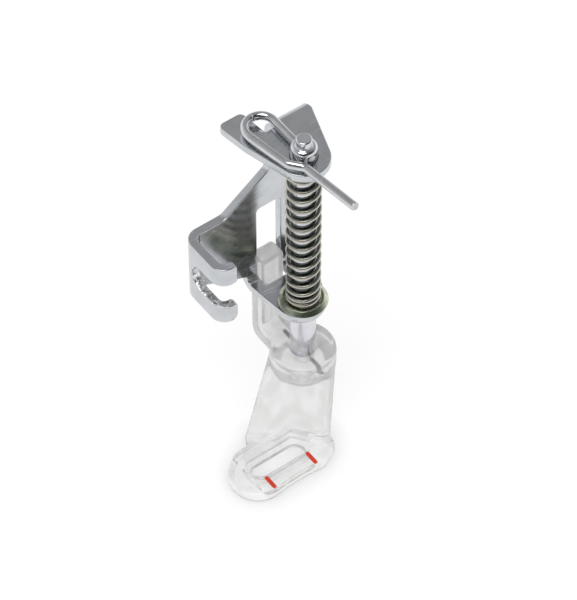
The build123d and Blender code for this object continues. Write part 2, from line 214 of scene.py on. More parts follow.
def rounded_path(corners: Floats, radii: Floats, arc_step: float) -> Floats:
    """Plane path of straight runs with an arc at each inner corner.

    An arc of radius r at a corner that turns by t starts r*tan(t/2) before the corner.

    Args:
        corners: corner points, one per row.
        radii: radius at each inner corner.
        arc_step: largest turn between two points of an arc, in radians.

    Returns:
        Points of the path.
    """
    pieces = [corners[:1]]
    for before, corner, after, radius in zip(corners, corners[1:], corners[2:], radii):
        into = (corner - before) / np.linalg.norm(corner - before)
        out = (after - corner) / np.linalg.norm(after - corner)
        turn = math.atan2(into[0] * out[1] - into[1] * out[0], float(into @ out))
        if abs(turn) < STRAIGHT or radius <= 0:
            pieces.append(corner[None, :])
            continue
        left = np.array([-into[1], into[0]]) * math.copysign(1.0, turn)
        start = corner - into * radius * math.tan(abs(turn) / 2)
        angle = np.linspace(0.0, abs(turn), 2 + int(abs(turn) / arc_step))[:, None]
        pieces.append(start + radius * (into * np.sin(angle) + left * (1 - np.cos(angle))))
    pieces.append(corners[-1:])
    return np.concatenate(pieces)


def lathe(profile: Floats, centre: Span, around: int) -> Floats:
    """Rings of a profile turned round an upright axis: (r cos a, r sin a, z).

    Args:
        profile: radius and height of each ring.
        centre: x and y of the axis.
        around: points in each ring.

    Returns:
        Grid of points.
    """
    angle = np.linspace(0.0, 2 * math.pi, around, endpoint=False)
    radius = profile[:, 0][:, None]
    x = centre[0] + radius * np.cos(angle)
    y = centre[1] + radius * np.sin(angle)
    z = np.broadcast_to(profile[:, 1][:, None], x.shape)
    return np.stack([x, y, z], axis=-1)


def unit_tangents(path: Floats) -> Floats:
    """Unit tangent at each point of a path, from the differences of its neighbours."""
    tangent = np.gradient(path, axis=0)
    return tangent / np.linalg.norm(tangent, axis=1, keepdims=True)


def tube(path: Floats, side: Floats, top: Floats, radius: Floats, around: int) -> Floats:
    """Rings of a round wire: path + radius * (side cos a + top sin a).

    Args:
        path: centre of each ring.
        side: unit vector across the wire at each ring.
        top: second such vector, square to the first.
        radius: wire radius at each ring, 0 at a closed end.
        around: points in each ring.

    Returns:
        Grid of points.
    """
    angle = np.linspace(0.0, 2 * math.pi, around, endpoint=False)[None, :, None]
    spoke = side[:, None, :] * np.cos(angle) + top[:, None, :] * np.sin(angle)
    return path[:, None, :] + radius[:, None, None] * spoke


def end_caps(path: Floats, tangent: Floats, radius: float, edge: float) -> tuple[Floats, Floats, Ints]:
    """Gives a wire's rows two ends with a rounded edge, inside the wire's length.

    On a cap the offset along the wire is edge*sin(a) and the radius is radius-edge+edge*cos(a).

    Args:
        path: centre line.
        tangent: unit tangent at each point.
        radius: wire radius.
        edge: radius of the rounded edge.

    Returns:
        Path, radius of each ring and the row number each ring takes its directions from.
    """
    sweep = np.linspace(0.0, math.pi / 2, CAP_RINGS)
    reach = np.concatenate([edge * np.sin(sweep), [edge]])
    ring = np.concatenate([radius - edge + edge * np.cos(sweep), [0.0]])
    last = len(path) - 1
    head = path[0] + edge * tangent[0] - reach[::-1, None] * tangent[0]
    tail = path[last] - edge * tangent[last] + reach[:, None] * tangent[last]
    rows = np.concatenate([head, path[1:-1], tail])
    sizes = np.concatenate([ring[::-1], np.full(len(path) - 2, radius), ring])
    index = np.concatenate([np.zeros(len(head), int), np.arange(1, last), np.full(len(tail), last)])
    return rows, sizes, index


def merged_copy(node: Piece, name: str) -> Piece:
    """Welded copy of a CAD node, with triangles in one plane joined to one face.

    Args:
        node: the CAD node's object.
        name: name of the copy.

    Returns:
        The copy, smooth shaded.
    """
    shell = bmesh.new()
    shell.from_mesh(node.data)
    bmesh.ops.remove_doubles(shell, verts=shell.verts, dist=WELD)
    limit = math.radians(FLAT_DEG)
    bmesh.ops.dissolve_limit(shell, angle_limit=limit, verts=shell.verts, edges=shell.edges)
    return link_smooth(name, shell, bpy.data.meshes.new(name))


def mark_area(piece: Piece, name: str, domain: str, share: npt.NDArray) -> None:
    """Marks part of a piece by an attribute that is 0 to 1 for each POINT or FACE."""
    layer = piece.data.attributes.new(name, "FLOAT", domain)
    layer.data.foreach_set("value", share.astype(np.float32))


def read_vectors(items: bpy.types.bpy_prop_collection, field: str) -> Floats:
    """Reads a vector field of a mesh.

    Args:
        items: all points or faces of the mesh.
        field: name of the field.

    Returns:
        One row for each point or face.
    """
    values = np.empty(len(items) * 3)
    items.foreach_get(field, values)
    return values.reshape(-1, 3)


# Shared surface effects

# Turn in radians and scale along and across of each run of scratches.
SCRATCH_RUNS = ((0.45, 170.0, 1500.0), (1.75, 240.0, 2100.0), (2.7, 120.0, 1200.0))
SCRATCH_TILT = (0.6, 0.4, 1.0)
SCRATCH_SHIFT = (1.0, 2.0, 3.0)
PATCH_SCALE = 0.35
PATCH_RANGE = (0.52, 0.62)
CLOUD_DETAIL = 3.0
CLOUD_RANGE = (0.3, 0.7)
DISC_RANGE = (0.08, 0.2)

# Numbers of a colour mix's sockets, whose names it shares with its other kinds.
MIX_LOW = 6
MIX_HIGH = 7
MIX_RESULT = 2


def new_group(name: str, inputs: dict[str, str], output: str) -> Group:
    """Shader node group with named sockets.

    Args:
        name: name of the group.
        inputs: kind of each input by name, such as Float or Vector.
        output: name of its one output, a number.

    Returns:
        The group's tree, with its two end nodes in place.
    """
    tree = bpy.data.node_groups.new(name, "ShaderNodeTree")
    for label, kind in inputs.items():
        tree.interface.new_socket(label, in_out="INPUT", socket_type=f"NodeSocket{kind}")
    tree.interface.new_socket(output, in_out="OUTPUT", socket_type="NodeSocketFloat")
    tree.nodes.new("NodeGroupInput")
    tree.nodes.new("NodeGroupOutput")
    return tree


def feed(tree: Tree, node: Node, values: Inputs) -> None:
    """Feeds a node's inputs, each by a link or by a number, colour or vector of its own.

    Args:
        tree: tree that holds the node.
        node: the node.
        values: what each input gets, by the input's name or number.
    """
    for key, value in values.items():
        socket = node.inputs[key]
        if isinstance(value, Socket):
            tree.links.new(value, socket)
        else:
            socket.default_value = (*value, 1.0) if socket.type == "RGBA" else value


def add_node(tree: Tree, kind: str, values: Inputs | None = None) -> Node:
    """Adds a node and feeds its inputs.

    Args:
        tree: tree that gets the node.
        kind: the node's type.
        values: what each input gets, as for feed.

    Returns:
        The new node.
    """
    node = tree.nodes.new(kind)
    feed(tree, node, values or {})
    return node


def calc(tree: Tree, operation: str, *values: Value) -> Socket:
    """Math node whose inputs are sockets or numbers.

    Args:
        tree: tree that gets the node.
        operation: name of the operation.
        values: socket or number for each input.

    Returns:
        The node's output.
    """
    node = add_node(tree, "ShaderNodeMath")
    node.operation = operation
    feed(tree, node, dict(enumerate(values)))
    return node.outputs[0]


def ramp(tree: Tree, value: Socket, low: Value, high: Value) -> Socket:
    """Smooth step of a value from 0 at low to 1 at high.

    Args:
        tree: tree that gets the node.
        value: socket to map.
        low: number or socket that maps to 0.
        high: number or socket that maps to 1.

    Returns:
        The mapped value.
    """
    node = add_node(tree, "ShaderNodeMapRange", {"Value": value, "From Min": low, "From Max": high})
    node.interpolation_type = "SMOOTHSTEP"
    return node.outputs["Result"]


def noise(tree: Tree, vector: Socket, scale: Value, detail: float) -> Socket:
    """Value of a noise texture; detail is its octaves."""
    inputs = {"Vector": vector, "Scale": scale, "Detail": detail}
    return add_node(tree, "ShaderNodeTexNoise", inputs).outputs[0]


def split_axes(tree: Tree, vector: Socket) -> bpy.types.NodeOutputs:
    """X, Y and Z of a vector, by name."""
    return add_node(tree, "ShaderNodeSeparateXYZ", {"Vector": vector}).outputs


def attribute(tree: Tree, name: str) -> Socket:
    """Attribute node.

    Args:
        tree: tree that gets the node.
        name: name of the mesh attribute.

    Returns:
        The attribute's value.
    """
    node = add_node(tree, "ShaderNodeAttribute")
    node.attribute_name = name
    return node.outputs["Fac"]


def bump(tree: Tree, height: Socket, depth: float, strength: float, under: Socket | None = None) -> Socket:
    """Bump node.

    Args:
        tree: tree that gets the node.
        height: height of the surface.
        depth: what a height of 1 stands for, in metres.
        strength: share of the effect.
        under: normal that it turns, or none for the surface's own.

    Returns:
        The turned normal.
    """
    node = add_node(tree, "ShaderNodeBump", {"Strength": strength, "Distance": depth, "Height": height})
    if under is not None:
        tree.links.new(under, node.inputs["Normal"])
    return node.outputs["Normal"]


def scratch_group() -> Group:
    """Fine handling scratches.

    A scratch is the thin band where a noise that is stretched along one direction passes its
    middle value. Three directions are laid over each other and broken up by a coarse noise.

    Returns:
        Group with inputs Vector and Width and output Mask.
    """
    tree = new_group("fine_scratches", {"Vector": "Vector", "Width": "Float"}, "Mask")
    start = tree.nodes["Group Input"]
    total: Value = 0.0
    for turn, length, gap in SCRATCH_RUNS:
        mapping = add_node(tree, "ShaderNodeMapping", {
            "Vector": start.outputs["Vector"],
            "Rotation": tuple(turn * share for share in SCRATCH_TILT),
            "Scale": (length, gap, gap),
            "Location": tuple(turn * share for share in SCRATCH_SHIFT),
        })
        streak = noise(tree, mapping.outputs["Vector"], 1.0, 0.0)
        away = calc(tree, "ABSOLUTE", calc(tree, "SUBTRACT", streak, 0.5))
        line = calc(tree, "SUBTRACT", 1.0, ramp(tree, away, 0.0, start.outputs["Width"]))
        coarse = noise(tree, mapping.outputs["Vector"], PATCH_SCALE, 1.0)
        patch = ramp(tree, coarse, *PATCH_RANGE)
        total = calc(tree, "MAXIMUM", total, calc(tree, "MULTIPLY", line, patch))
    feed(tree, tree.nodes["Group Output"], {"Mask": total})
    return tree


def mottle_group() -> Group:
    """Soft uneven patches, as plating haze or a moulding's uneven gloss.

    Returns:
        Group with inputs Vector and Scale and output Value, 0 to 1.
    """
    tree = new_group("soft_mottle", {"Vector": "Vector", "Scale": "Float"}, "Value")
    start = tree.nodes["Group Input"]
    cloud = noise(tree, start.outputs["Vector"], start.outputs["Scale"], CLOUD_DETAIL)
    feed(tree, tree.nodes["Group Output"], {"Value": ramp(tree, cloud, *CLOUD_RANGE)})
    return tree


def speck_group() -> Group:
    """Tiny pits and dust: small discs round the seeds of a few cells in a hundred.

    Returns:
        Group with inputs Vector, Scale and Share and output Mask.
    """
    tree = new_group("pits_and_dust", {"Vector": "Vector", "Scale": "Float", "Share": "Float"}, "Mask")
    start = tree.nodes["Group Input"]
    place = {"Vector": start.outputs["Vector"], "Scale": start.outputs["Scale"]}
    cells = add_node(tree, "ShaderNodeTexVoronoi", place)
    away = ramp(tree, cells.outputs["Distance"], *DISC_RANGE)
    disc = calc(tree, "SUBTRACT", 1.0, away)
    pick = add_node(tree, "ShaderNodeSeparateColor", {"Color": cells.outputs["Color"]})
    kept = calc(tree, "LESS_THAN", pick.outputs["Red"], start.outputs["Share"])
    feed(tree, tree.nodes["Group Output"], {"Mask": calc(tree, "MULTIPLY", disc, kept)})
    return tree


@dataclass(frozen=True)
class Effects:
    """The shader node groups that the finishes share."""

    scratches: Group
    mottle: Group
    specks: Group

    @classmethod
    def build(cls) -> "Effects":
        """Builds each group once."""
        return cls(scratch_group(), mottle_group(), speck_group())


# Finishes


def blank_material(name: str) -> tuple[Material, Tree, Node, Socket]:
    """Material with one Principled shader and Object coordinates.

    Args:
        name: name of the material.

    Returns:
        The material, its tree, its shader and the coordinates.
    """
    material = bpy.data.materials.new(name)
    material.use_nodes = True
    tree = material.node_tree
    coordinates = add_node(tree, "ShaderNodeTexCoord")
    return material, tree, tree.nodes["Principled BSDF"], coordinates.outputs["Object"]


def place_group(tree: Tree, group: Group, vector: Socket, **values: float) -> Socket:
    """Places a shared group in a material.

    Args:
        tree: the material's tree.
        group: the group.
        vector: coordinates for it.
        values: numbers for its other inputs.

    Returns:
        The group's output.
    """
    node = add_node(tree, "ShaderNodeGroup")
    node.node_tree = group
    feed(tree, node, {"Vector": vector, **values})
    return node.outputs[0]


def blend(tree: Tree, share: Socket, low: Value, high: Value) -> Socket:
    """Mix of two colours by a mask.

    Args:
        tree: tree that gets the node.
        share: 0 for low, 1 for high.
        low: colour or colour socket.
        high: colour or colour socket.

    Returns:
        The mixed colour.
    """
    node = add_node(tree, "ShaderNodeMix")
    node.data_type = "RGBA"
    feed(tree, node, {"Factor": share, MIX_LOW: low, MIX_HIGH: high})
    return node.outputs[MIX_RESULT]


@dataclass(frozen=True)
class MarkedArea:
    """Part of a metal surface that differs, marked by a mesh attribute from 0 to 1.

    Fields are the attribute's name, the area's colour, the depth and size of its waves in mm and
    what it adds to the roughness.
    """

    attribute: str
    colour: Colour
    depth: float = 0.0
    size: float = 1.0
    dull: float = 0.0


@dataclass(frozen=True)
class SheetBow:
    """A wall that is shaded as curving forward near its fold.

    Fields are the attribute that marks the wall, the x where the bow starts and its bend per mm.
    """

    attribute: str
    start: float
    bend: float

    def normal(self, tree: Tree, where: Socket) -> Socket:
        """Turns the surface by the slope of height = bend / 2 * (start - x) ** 2, left of the start.

        Args:
            tree: the material's node tree.
            where: object coordinates in metres.

        Returns:
            The turned normal.
        """
        marked = attribute(tree, self.attribute)
        run = calc(tree, "SUBTRACT", self.start * MM, split_axes(tree, where)["X"])
        run = calc(tree, "MAXIMUM", run, 0.0)
        rise = calc(tree, "MULTIPLY", calc(tree, "MULTIPLY", run, run), self.bend / MM / 2)
        return bump(tree, calc(tree, "MULTIPLY", rise, marked), 1.0, 1.0)


@dataclass(frozen=True)
class MetalFinish:
    """A metal surface with haze, scratches and pits.

    Smooth and rough are the roughness of clean and hazy places, and what is dull adds to it. Depth
    and size are mm, relief is the bump's strength, and one area can differ and one wall be bowed.
    """

    name: str
    clean: Colour
    hazy: Colour
    smooth: float
    rough: float
    scratch_width: float
    scratch_colour: Colour
    scratch_depth: float
    haze_size: float
    pit_share: float
    area: MarkedArea | None = None
    bow: SheetBow | None = None
    pit_scale: float = 2600.0
    scratch_dull: float = 0.18
    pit_dull: float = 0.2
    relief: float = 0.5

    def material(self, effects: Effects) -> Material:
        """Builds the material.

        Args:
            effects: the shared node groups.

        Returns:
            The finished material.
        """
        material, tree, shader, where = blank_material(self.name)
        haze = place_group(tree, effects.mottle, where, Scale=1.0 / (self.haze_size * MM))
        lines = place_group(tree, effects.scratches, where, Width=self.scratch_width)
        pits = place_group(tree, effects.specks, where, Scale=self.pit_scale, Share=self.pit_share)
        colour = blend(tree, haze, self.clean, self.hazy)
        colour = blend(tree, lines, colour, self.scratch_colour)
        gloss = calc(tree, "MULTIPLY_ADD", haze, self.rough - self.smooth, self.smooth)
        under = None if self.bow is None else self.bow.normal(tree, where)
        if self.area is not None:
            marked = attribute(tree, self.area.attribute)
            colour = blend(tree, marked, colour, self.area.colour)
            gloss = calc(tree, "MULTIPLY_ADD", marked, self.area.dull, gloss)
            wave = place_group(tree, effects.mottle, where, Scale=1.0 / (self.area.size * MM))
            height = calc(tree, "MULTIPLY", marked, wave)
            under = bump(tree, height, self.area.depth * MM, 1.0, under)
        gloss = calc(tree, "MULTIPLY_ADD", lines, self.scratch_dull, gloss)
        gloss = calc(tree, "MULTIPLY_ADD", pits, self.pit_dull, gloss)
        height = calc(tree, "SUBTRACT", lines, pits)
        normal = bump(tree, height, self.scratch_depth * MM, self.relief, under)
        feed(tree, shader, {"Base Color": colour, "Roughness": gloss, "Normal": normal, "Metallic": 1.0})
        return material


@dataclass(frozen=True)
class ClearFinish:
    """A clear moulded plastic with slightly wavy, slightly uneven gloss.

    Pale flow streaks run up through it, and it is paler above the heights in top_z. Sizes are mm,
    and shadow_share is what it lets through to what lies in its shadow.
    """

    name: str
    tint: Colour
    pale: Colour
    streak: Point
    top_z: Span
    clear_share: float
    index: float
    smooth: float
    rough: float
    wave_size: float
    wave_depth: float
    shadow_share: float
    streak_range: Span = (0.2, 0.85)
    scratch_width: float = 0.02
    scratch_dull: float = 0.05
    relief: float = 0.6

    def material(self, effects: Effects) -> Material:
        """Builds the material; lamps reach what is behind it through a Transparent shader.

        Args:
            effects: the shared node groups.

        Returns:
            The finished material.
        """
        material, tree, shader, where = blank_material(self.name)
        scale = tuple(1.0 / (size * MM) for size in self.streak)
        stretch = add_node(tree, "ShaderNodeMapping", {"Vector": where, "Scale": scale})
        flow = place_group(tree, effects.mottle, stretch.outputs["Vector"], Scale=1.0)
        low, high = self.top_z
        above = ramp(tree, split_axes(tree, where)["Z"], low * MM, high * MM)
        pale = calc(tree, "MAXIMUM", ramp(tree, flow, *self.streak_range), above)
        wave = place_group(tree, effects.mottle, where, Scale=1.0 / (self.wave_size * MM))
        lines = place_group(tree, effects.scratches, where, Width=self.scratch_width)
        gloss = calc(tree, "MULTIPLY_ADD", wave, self.rough - self.smooth, self.smooth)
        feed(tree, shader, {
            "Base Color": blend(tree, pale, self.tint, self.pale),
            "Roughness": calc(tree, "MULTIPLY_ADD", lines, self.scratch_dull, gloss),
            "Normal": bump(tree, wave, self.wave_depth * MM, self.relief),
            "Transmission Weight": self.clear_share,
            "IOR": self.index,
        })
        path = add_node(tree, "ShaderNodeLightPath")
        through = add_node(tree, "ShaderNodeBsdfTransparent", {"Color": (self.shadow_share,) * 3})
        mix = add_node(tree, "ShaderNodeMixShader", {
            "Fac": path.outputs["Is Shadow Ray"],
            1: shader.outputs["BSDF"],
            2: through.outputs["BSDF"],
        })
        feed(tree, tree.nodes["Material Output"], {"Surface": mix.outputs["Shader"]})
        return material


@dataclass(frozen=True)
class PaintFinish:
    """An opaque paint with uneven cover. Sizes are mm."""

    name: str
    full: Colour
    thin: Colour
    gloss: float
    cover_size: float = 0.35
    thin_dull: float = 0.12
    speck_scale: float = 5000.0
    speck_share: float = 0.15
    speck_dull: float = 0.2
    depth: float = 0.02
    relief: float = 0.3

    def material(self, effects: Effects) -> Material:
        """Builds the material.

        Args:
            effects: the shared node groups.

        Returns:
            The finished material.
        """
        material, tree, shader, where = blank_material(self.name)
        cover = place_group(tree, effects.mottle, where, Scale=1.0 / (self.cover_size * MM))
        specks = place_group(tree, effects.specks, where, Scale=self.speck_scale, Share=self.speck_share)
        rough = calc(tree, "MULTIPLY_ADD", cover, self.thin_dull, self.gloss)
        feed(tree, shader, {
            "Base Color": blend(tree, cover, self.full, self.thin),
            "Roughness": calc(tree, "MULTIPLY_ADD", specks, self.speck_dull, rough),
            "Normal": bump(tree, cover, self.depth * MM, self.relief),
        })
        return material


Finish = MetalFinish | ClearFinish | PaintFinish

CUT_EDGE = MarkedArea("cut_edge", (0.86, 0.87, 0.88), depth=0.26, size=2.2)
CUT_END = MarkedArea("cut_end", (0.95, 0.96, 0.95), dull=0.8)
# Painted shade: a dark colour on the spring wire's inner and upper side, where the coils shade each other.
PAINTED_COIL_SHADE = MarkedArea("painted_shade", (0.19, 0.21, 0.18))
WEB_BOW = SheetBow("bowed_web", start=9.0, bend=0.0125)
PLATED_SHEET = MetalFinish(
    "plated_sheet", clean=(0.645, 0.665, 0.69), hazy=(0.585, 0.605, 0.63), smooth=0.14, rough=0.2,
    scratch_width=0.011, scratch_colour=(0.71, 0.73, 0.75), scratch_depth=0.0007,
    haze_size=2.2, pit_share=0.015, area=CUT_EDGE, bow=WEB_BOW,
)
GROUND_SHAFT = MetalFinish(
    "ground_shaft", clean=(0.78, 0.78, 0.82), hazy=(0.72, 0.72, 0.77), smooth=0.1, rough=0.17,
    scratch_width=0.006, scratch_colour=(0.82, 0.82, 0.85), scratch_depth=0.0006,
    haze_size=1.5, pit_share=0.01,
)
POLISHED_WIRE = MetalFinish(
    "polished_wire", clean=(0.7, 0.71, 0.73), hazy=(0.64, 0.65, 0.67), smooth=0.07, rough=0.15,
    scratch_width=0.012, scratch_colour=(0.8, 0.8, 0.82), scratch_depth=0.001,
    haze_size=1.2, pit_share=0.03, area=CUT_END,
)
DRAWN_WIRE = MetalFinish(
    "drawn_wire", clean=(0.6, 0.575, 0.51), hazy=(0.53, 0.505, 0.45), smooth=0.22, rough=0.3,
    scratch_width=0.006, scratch_colour=(0.64, 0.61, 0.55), scratch_depth=0.0006,
    haze_size=1.6, pit_share=0.01, area=PAINTED_COIL_SHADE,
)
PASSIVATED = MetalFinish(
    "passivated_washer", clean=(0.62, 0.66, 0.53), hazy=(0.52, 0.57, 0.44), smooth=0.2, rough=0.28,
    scratch_width=0.01, scratch_colour=(0.68, 0.71, 0.6), scratch_depth=0.0008,
    haze_size=1.0, pit_share=0.02,
)
DARK_STEEL = MetalFinish(
    "dark_steel", clean=(0.14, 0.14, 0.14), hazy=(0.1, 0.1, 0.1), smooth=0.25, rough=0.38,
    scratch_width=0.02, scratch_colour=(0.3, 0.3, 0.3), scratch_depth=0.0015,
    haze_size=0.9, pit_share=0.05,
)
CLEAR_MOULDING = ClearFinish(
    "clear_moulding", tint=(0.845, 0.845, 0.838), pale=(0.94, 0.94, 0.94), streak=(1.6, 1.6, 7.0),
    top_z=(-17.0, -12.0), clear_share=0.74, index=1.49, smooth=0.12, rough=0.22,
    wave_size=2.6, wave_depth=0.004, shadow_share=0.72,
)
RED_PAINT = PaintFinish("red_groove_paint", full=(0.6, 0.032, 0.012), thin=(0.52, 0.045, 0.02), gloss=0.34)


# Sub-assemblies


@dataclass
class Plunger:
    """Turned shaft with its shoulder and head, on the plunger axis."""

    axis: Span = PLUNGER_AXIS
    radius: float = 1.8
    tail_z: float = -22.4
    tail_edge: float = 0.3
    groove_radius: float = 1.4
    groove_z: Span = (-9.77, -9.33)
    groove_edge: float = 0.03
    shoulder_z: float = 21.7
    shoulder_edge: float = 0.6
    head_radius: float = 1.1
    head_z: float = 22.9
    head_edge: float = 0.25
    root_fillet: float = 0.15
    arc_step: float = 0.15
    around: int = 96

    def build(self) -> Piece:
        """Turns the shaft's stepped profile, with rounded corners, round the plunger axis.

        Returns:
            The shaft's piece.
        """
        low, high = self.groove_z
        steps = np.array([
            (0.0, self.tail_z), (self.radius, self.tail_z), (self.radius, low), (self.groove_radius, low),
            (self.groove_radius, high), (self.radius, high), (self.radius, self.shoulder_z),
            (self.head_radius, self.shoulder_z), (self.head_radius, self.head_z), (0.0, self.head_z),
        ])
        groove = [self.groove_edge] * 4
        edges = np.array([self.tail_edge, *groove, self.shoulder_edge, self.root_fillet, self.head_edge])
        profile = rounded_path(steps, edges, self.arc_step)
        return ring_surface("shaft", lathe(profile, self.axis, self.around), Ends.CLOSED)


@dataclass
class SpringWasher:
    """Washer with a sloping rim and a recess that the spring stands in."""

    axis: Span = PLUNGER_AXIS
    bore: float = 1.86
    radius: float = 3.45
    under_z: float = -9.35
    thickness: float = 0.4
    seam: float = 0.4
    slope_width: float = 0.6
    edge_height: float = 0.08
    rim_width: float = 0.12
    recess_slope: float = 0.2
    rim_lift: float = 0.2
    under_edge: float = 0.04
    rim_edge: float = 0.1
    bore_edge: float = 0.08
    arc_step: float = 0.2
    around: int = 128

    def build(self) -> Piece:
        """Turns the washer's closed section, from a seam on its underside, round the plunger axis.

        Returns:
            The washer's piece.
        """
        top = self.under_z + self.thickness
        crest = self.radius - self.slope_width
        inner = crest - self.rim_width
        seam = (self.bore + self.seam, self.under_z)
        section = np.array([
            seam, (self.radius, self.under_z), (self.radius, self.under_z + self.edge_height),
            (crest, top + self.rim_lift), (inner, top + self.rim_lift), (inner - self.recess_slope, top),
            (self.bore, top), (self.bore, self.under_z), seam,
        ])
        edges = np.array([self.under_edge, *[self.rim_edge] * 4, *[self.bore_edge] * 2])
        profile = rounded_path(section, edges, self.arc_step)[:-1]
        return ring_surface("dished_washer", lathe(profile, self.axis, self.around), Ends.JOINED)


@dataclass
class CoilSpring:
    """Compression spring with closed ends, round wire."""

    axis: Span = PLUNGER_AXIS
    coil_radius: float = 2.125
    wire_radius: float = 0.29
    end_edge: float = 0.06
    seat_z: float = -8.95
    top_z: float = 18.3
    start_angle: float = VIEW_TURN
    closed_pitch: float = 0.57
    open_pitch: float = 1.92
    low_ramp: float = 4.2
    high_ramp: float = 1.6
    turns: float = 16.05
    per_turn: int = 44
    around: int = 24
    travel: float = 8.2
    upward: float = 0.8
    # Range over which the painted shade on the wire's inner and upper side rises.
    painted_shade: Span = (0.15, 0.65)

    def heights(self, turn: Floats) -> Floats:
        """Height of the wire's centre after each turn.

        The pitch opens by a smooth step over the low ramp and closes over the high one; the height
        is its running sum, scaled to end under the top seat.

        Args:
            turn: turns from the lower end, evenly spaced.

        Returns:
            Height of each point.
        """
        closing = smooth_step(self.turns - turn, 0.0, self.high_ramp)
        opening = smooth_step(turn, 0.0, self.low_ramp) * closing
        pitch = self.closed_pitch + (self.open_pitch - self.closed_pitch) * opening
        rise = np.concatenate([[0.0], np.cumsum((pitch[1:] + pitch[:-1]) / 2 * np.diff(turn))])
        bottom = self.seat_z + self.wire_radius
        return bottom + rise * (self.top_z - self.wire_radius - bottom) / rise[-1]

    def build(self) -> Piece:
        """Carries a circle along the helix (R cos a, R sin a, height(a)).

        Returns:
            The spring's piece.
        """
        turn = np.linspace(0.0, self.turns, int(self.turns * self.per_turn))
        angle = math.radians(self.start_angle) + 2 * math.pi * turn
        outward = np.stack([np.cos(angle), np.sin(angle), np.zeros_like(angle)], axis=-1)
        path = outward * self.coil_radius + np.array([*self.axis, 0.0])
        path[:, 2] = self.heights(turn)
        tangent = unit_tangents(path)
        rows, sizes, index = end_caps(path, tangent, self.wire_radius, self.end_edge)
        across = np.cross(tangent, outward)
        rings = tube(rows, outward[index], across[index], sizes, self.around)
        piece = ring_surface("coil_spring", rings, Ends.CLOSED)
        self.mark_painted_shade(piece)
        return piece

    def mark_painted_shade(self, piece: Piece) -> None:
        """Marks the wire's inner and upper side, which gets a darker colour: painted shade between the
        coils.

        The mark is a smooth step of upward * (n . up) - n . outward over the painted shade's range.

        Args:
            piece: the spring's piece.
        """
        place = read_vectors(piece.data.vertices, "co") / MM - np.array([*self.axis, 0.0])
        facing = read_vectors(piece.data.vertices, "normal")
        outward = place[:, :2] / np.linalg.norm(place[:, :2], axis=1, keepdims=True)
        inwards = self.upward * facing[:, 2] - np.sum(facing[:, :2] * outward, axis=1)
        mark_area(piece, PAINTED_COIL_SHADE.attribute, "POINT", smooth_step(inwards, *self.painted_shade))

    def fit(self, piece: Piece) -> None:
        """Gives the spring its own copy of its mesh.

        Args:
            piece: the spring's piece.
        """
        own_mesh(piece)


@dataclass
class LiftLever:
    """Hairpin wire through the shaft's top, with its long arm to the front."""

    level: float = 20.6
    radius: float = 0.6
    corners: tuple[Span, ...] = (
        (12.5, -6.1), (12.5, 4.45), (8.3, 4.45), (8.3, 1.75), (9.4, -4.75), (10.85, -6.55), (12.0, -16.0),
    )
    bends: tuple[float, ...] = (2.1, 2.1, 1.6, 1.6, 1.6)
    arc_step: float = 0.06
    end_edge: float = 0.5
    end_reach: float = 0.7
    around: int = 32

    def build(self) -> Piece:
        """Carries a circle along the bent centre line, which lies level, and marks its cut ends.

        Returns:
            The lever's piece.
        """
        line = rounded_path(np.array(self.corners), np.array(self.bends), self.arc_step)
        path = np.column_stack([line, np.full(len(line), self.level)])
        tangent = unit_tangents(path)
        top = np.broadcast_to(np.array([0.0, 0.0, 1.0]), tangent.shape)
        side = np.cross(tangent, top)
        rows, sizes, index = end_caps(path, tangent, self.radius, self.end_edge)
        rings = tube(rows, side[index], top[index], sizes, self.around)
        piece = ring_surface("hairpin_lever", rings, Ends.CLOSED)
        place = read_vectors(piece.data.vertices, "co") / MM
        reach = np.linalg.norm(place[:, None, :] - path[[0, -1]], axis=2).min(axis=1)
        mark_area(piece, CUT_END.attribute, "POINT", reach < self.end_reach)
        return piece


@dataclass
class Bracket:
    """Folded sheet bracket, from its CAD solid with worn round edges."""

    edge: float = 0.14
    segments: int = 3
    sharp_deg: float = 40.0
    slot_z: Span = (-8.5, 2.4)
    slot_x: float = 5.7
    cut_slope: float = 0.3
    flat_weight: int = 90
    web_front: float = 3.05
    web_reach: float = 0.1
    web_facing: float = 0.9

    def build(self, node: Piece) -> Piece:
        """Welds the sheet's solid, marks the slot's cut edges and the web's front, and rounds its edges.

        Args:
            node: the bracket's CAD node.

        Returns:
            The bracket's piece.
        """
        piece = merged_copy(node, "folded_bracket")
        x, y, z = read_vectors(piece.data.polygons, "center").T / MM
        facing = read_vectors(piece.data.polygons, "normal")
        low, high = self.slot_z
        in_slot = (z > low) & (z < high) & (x < self.slot_x)
        mark_area(piece, CUT_EDGE.attribute, "FACE", in_slot & (np.abs(facing[:, 2]) > self.cut_slope))
        on_web = (np.abs(y - self.web_front) < self.web_reach) & (facing[:, 1] < -self.web_facing)
        mark_area(piece, WEB_BOW.attribute, "FACE", on_web)
        self.soften(piece)
        return piece

    def soften(self, piece: Piece) -> None:
        """Rounds the sheet's sharp edges and keeps its flat faces flat.

        Args:
            piece: the bracket's piece.
        """
        bevel = piece.modifiers.new("edge_round", "BEVEL")
        bevel.width = self.edge * MM
        bevel.segments = self.segments
        bevel.limit_method = "ANGLE"
        bevel.angle_limit = math.radians(self.sharp_deg)
        bevel.miter_outer = "MITER_ARC"
        bevel.use_clamp_overlap = False
        flat = piece.modifiers.new("flat_faces", "WEIGHTED_NORMAL")
        flat.weight = self.flat_weight
        flat.keep_sharp = True


